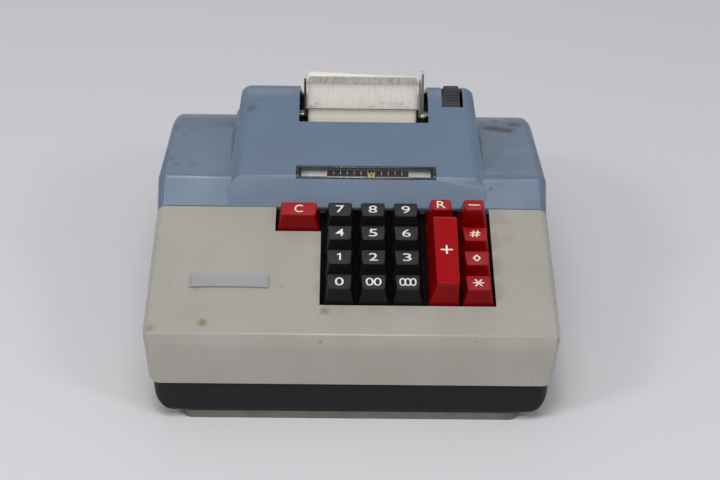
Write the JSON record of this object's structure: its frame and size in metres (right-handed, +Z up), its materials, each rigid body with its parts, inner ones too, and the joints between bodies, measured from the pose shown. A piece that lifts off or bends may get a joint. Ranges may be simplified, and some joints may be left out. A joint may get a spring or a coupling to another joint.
{
  "type": "printing calculator",
  "caption": "Electric ten-key printing calculator with a wedge-shaped keyboard, stepped rear cover, paper roll and platen printer",
  "frame": {"origin": "middle of the footprint, on the table under the pad", "axes": "+X to the operator's right, +Y from the keyboard to the back, +Z up"},
  "size_m": [0.229, 0.271, 0.142],
  "materials": {
    "base_paint": "satin charcoal stove enamel",
    "pad_rubber": "matt moulded rubber",
    "cover_beige": "fine matt moulded",
    "cover_blue": "fine matt moulded",
    "screw_steel": "zinc plated",
    "badge_metal": "brushed, clear anodised",
    "window_clear": "polished clear acrylic",
    "scale_print": "printed",
    "inlet_black": "moulded phenolic",
    "key_charcoal": "satin moulded",
    "key_red": "satin moulded",
    "plate_steel": "zinc plated sheet",
    "plate_black": "blackened steel sheet",
    "spring_steel": "bright spring wire",
    "shaft_steel": "ground",
    "tear_clear": "polished clear acrylic",
    "platen_rubber": "ground rubber",
    "knob_black": "moulded, ribbed",
    "paper": "uncoated paper",
    "brass": "machined",
    "pointer_paint": "yellow-green paint",
    "motor_paint": "grey enamel",
    "spool_plastic": "moulded",
    "ribbon_ink": "inked cloth"
  },
  "bodies": {
    "machine": {"base_pan": "base_paint", "base_pad": "pad_rubber", "front_cover": "cover_beige", "rear_cover": "cover_blue", "cover_screws": "screw_steel", "badge_plate": "badge_metal", "window_lens": "window_clear", "indicator_scale": "scale_print", "power_inlet": "inlet_black", "key_guide_plates": "plate_black", "keyboard_posts": "plate_steel", "key_springs": "spring_steel", "side_plate_left": "plate_steel", "side_plate_right": "plate_steel", "printer_cross_bar": "plate_steel", "guide_bracket_left": "plate_steel", "guide_bracket_right": "plate_steel", "tear_bar": "tear_clear", "paper_strip": "paper", "roll_arms": "plate_steel", "carriage_rails": "shaft_steel", "type_shaft": "shaft_steel", "motor": "motor_paint", "ribbon_shelves": "plate_steel", "ink_ribbon": "ribbon_ink"},
    "key_0_body": {"key_0": "key_charcoal"},
    "key_00_body": {"key_00": "key_charcoal"},
    "key_000_body": {"key_000": "key_charcoal"},
    "key_1_body": {"key_1": "key_charcoal"},
    "key_2_body": {"key_2": "key_charcoal"},
    "key_3_body": {"key_3": "key_charcoal"},
    "key_4_body": {"key_4": "key_charcoal"},
    "key_5_body": {"key_5": "key_charcoal"},
    "key_6_body": {"key_6": "key_charcoal"},
    "key_7_body": {"key_7": "key_charcoal"},
    "key_8_body": {"key_8": "key_charcoal"},
    "key_9_body": {"key_9": "key_charcoal"},
    "key_clear_body": {"key_clear": "key_red"},
    "key_repeat_body": {"key_repeat": "key_red"},
    "key_plus_body": {"key_plus": "key_red"},
    "key_minus_body": {"key_minus": "key_red"},
    "key_nonadd_body": {"key_nonadd": "key_red"},
    "key_subtotal_body": {"key_subtotal": "key_red"},
    "key_total_body": {"key_total": "key_red"},
    "release_lever": {"paper_release_lever": "shaft_steel"},
    "platen_unit": {"platen": "platen_rubber", "platen_shaft": "shaft_steel", "platen_knob": "knob_black"},
    "feed_roller": {"pressure_roller": "platen_rubber"},
    "roll": {"paper_roll": "paper", "roll_spindle": "knob_black"},
    "carriage": {"pin_carriage": "brass", "indicator_pointer": "pointer_paint"},
    "type": {"type_sectors": "brass"},
    "drive": {"main_shaft": "shaft_steel", "main_gear": "brass", "drive_cams": "plate_steel"},
    "rotor": {"motor_rotor": "brass"},
    "spool_left": {"ribbon_spool_left": "spool_plastic"},
    "spool_right": {"ribbon_spool_right": "spool_plastic"}
  },
  "joints": [
    {"name": "key_0_press", "type": "slide", "parent": "machine", "child": "key_0_body", "axis": [0, 0.2672, -0.9636], "range_m": [0, 0.004], "stiffness_N_per_m": 150, "deforming": ["key_springs"]},
    {"name": "key_00_press", "type": "slide", "parent": "machine", "child": "key_00_body", "axis": [0, 0.2672, -0.9636], "range_m": [0, 0.004], "stiffness_N_per_m": 150, "deforming": ["key_springs"]},
    {"name": "key_000_press", "type": "slide", "parent": "machine", "child": "key_000_body", "axis": [0, 0.2672, -0.9636], "range_m": [0, 0.004], "stiffness_N_per_m": 150, "deforming": ["key_springs"]},
    {"name": "key_1_press", "type": "slide", "parent": "machine", "child": "key_1_body", "axis": [0, 0.2672, -0.9636], "range_m": [0, 0.004], "stiffness_N_per_m": 150, "deforming": ["key_springs"]},
    {"name": "key_2_press", "type": "slide", "parent": "machine", "child": "key_2_body", "axis": [0, 0.2672, -0.9636], "range_m": [0, 0.004], "stiffness_N_per_m": 150, "deforming": ["key_springs"]},
    {"name": "key_3_press", "type": "slide", "parent": "machine", "child": "key_3_body", "axis": [0, 0.2672, -0.9636], "range_m": [0, 0.004], "stiffness_N_per_m": 150, "deforming": ["key_springs"]},
    {"name": "key_4_press", "type": "slide", "parent": "machine", "child": "key_4_body", "axis": [0, 0.2672, -0.9636], "range_m": [0, 0.004], "stiffness_N_per_m": 150, "deforming": ["key_springs"]},
    {"name": "key_5_press", "type": "slide", "parent": "machine", "child": "key_5_body", "axis": [0, 0.2672, -0.9636], "range_m": [0, 0.004], "stiffness_N_per_m": 150, "deforming": ["key_springs"]},
    {"name": "key_6_press", "type": "slide", "parent": "machine", "child": "key_6_body", "axis": [0, 0.2672, -0.9636], "range_m": [0, 0.004], "stiffness_N_per_m": 150, "deforming": ["key_springs"]},
    {"name": "key_7_press", "type": "slide", "parent": "machine", "child": "key_7_body", "axis": [0, 0.2672, -0.9636], "range_m": [0, 0.004], "stiffness_N_per_m": 150, "deforming": ["key_springs"]},
    {"name": "key_8_press", "type": "slide", "parent": "machine", "child": "key_8_body", "axis": [0, 0.2672, -0.9636], "range_m": [0, 0.004], "stiffness_N_per_m": 150, "deforming": ["key_springs"]},
    {"name": "key_9_press", "type": "slide", "parent": "machine", "child": "key_9_body", "axis": [0, 0.2672, -0.9636], "range_m": [0, 0.004], "stiffness_N_per_m": 150, "deforming": ["key_springs"]},
    {"name": "key_clear_press", "type": "slide", "parent": "machine", "child": "key_clear_body", "axis": [0, 0.2672, -0.9636], "range_m": [0, 0.004], "stiffness_N_per_m": 150, "deforming": ["key_springs"]},
    {"name": "key_repeat_press", "type": "slide", "parent": "machine", "child": "key_repeat_body", "axis": [0, 0.2672, -0.9636], "range_m": [0, 0.004], "stiffness_N_per_m": 150, "deforming": ["key_springs"]},
    {"name": "key_plus_press", "type": "slide", "parent": "machine", "child": "key_plus_body", "axis": [0, 0.2672, -0.9636], "range_m": [0, 0.004], "stiffness_N_per_m": 150, "deforming": ["key_springs"]},
    {"name": "key_minus_press", "type": "slide", "parent": "machine", "child": "key_minus_body", "axis": [0, 0.2672, -0.9636], "range_m": [0, 0.004], "stiffness_N_per_m": 150, "deforming": ["key_springs"]},
    {"name": "key_nonadd_press", "type": "slide", "parent": "machine", "child": "key_nonadd_body", "axis": [0, 0.2672, -0.9636], "range_m": [0, 0.004], "stiffness_N_per_m": 150, "deforming": ["key_springs"]},
    {"name": "key_subtotal_press", "type": "slide", "parent": "machine", "child": "key_subtotal_body", "axis": [0, 0.2672, -0.9636], "range_m": [0, 0.004], "stiffness_N_per_m": 150, "deforming": ["key_springs"]},
    {"name": "key_total_press", "type": "slide", "parent": "machine", "child": "key_total_body", "axis": [0, 0.2672, -0.9636], "range_m": [0, 0.004], "stiffness_N_per_m": 150, "deforming": ["key_springs"]},
    {"name": "platen_turn", "type": "hinge", "parent": "machine", "child": "platen_unit", "pos_m": [0, 0.0305, 0.11], "axis": [1, 0, 0], "continuous": true},
    {"name": "feed_roller_turn", "type": "hinge", "parent": "machine", "child": "feed_roller", "pos_m": [0, 0.0305, 0.09045], "axis": [1, 0, 0], "continuous": true},
    {"name": "paper_roll_turn", "type": "hinge", "parent": "machine", "child": "roll", "pos_m": [0, 0.0905, 0.076], "axis": [1, 0, 0], "continuous": true},
    {"name": "release_lever_swing", "type": "hinge", "parent": "machine", "child": "release_lever", "pos_m": [0.042, 0.019, 0.115], "axis": [1, 0, 0], "range_deg": [-20, 0]},
    {"name": "carriage_slide", "type": "slide", "parent": "machine", "child": "carriage", "axis": [1, 0, 0], "range_m": [-0.0243, 0.02025]},
    {"name": "type_lift", "type": "hinge", "parent": "machine", "child": "type", "pos_m": [0, -0.0075, 0.086], "axis": [1, 0, 0], "range_deg": [0, 30.6]},
    {"name": "main_shaft_turn", "type": "hinge", "parent": "machine", "child": "drive", "pos_m": [0, 0.0245, 0.038], "axis": [1, 0, 0], "continuous": true},
    {"name": "motor_turn", "type": "hinge", "parent": "machine", "child": "rotor", "pos_m": [-0.09, 0.0545, 0.038], "axis": [1, 0, 0], "continuous": true},
    {"name": "ribbon_spool_left_turn", "type": "hinge", "parent": "machine", "child": "spool_left", "pos_m": [-0.0465, 0.00497, 0.09387], "axis": [0, -0.534, 0.8455], "continuous": true},
    {"name": "ribbon_spool_right_turn", "type": "hinge", "parent": "machine", "child": "spool_right", "pos_m": [0.055, 0.00497, 0.09387], "axis": [0, -0.534, 0.8455], "continuous": true}
  ],
  "couplings": [
    {"joint": "feed_roller_turn", "follows": "platen_turn", "ratio": -2.9898},
    {"joint": "paper_roll_turn", "follows": "platen_turn", "ratio": -0.6448},
    {"joint": "motor_turn", "follows": "main_shaft_turn", "ratio": -4},
    {"joint": "ribbon_spool_right_turn", "follows": "ribbon_spool_left_turn", "ratio": 1}
  ]
}
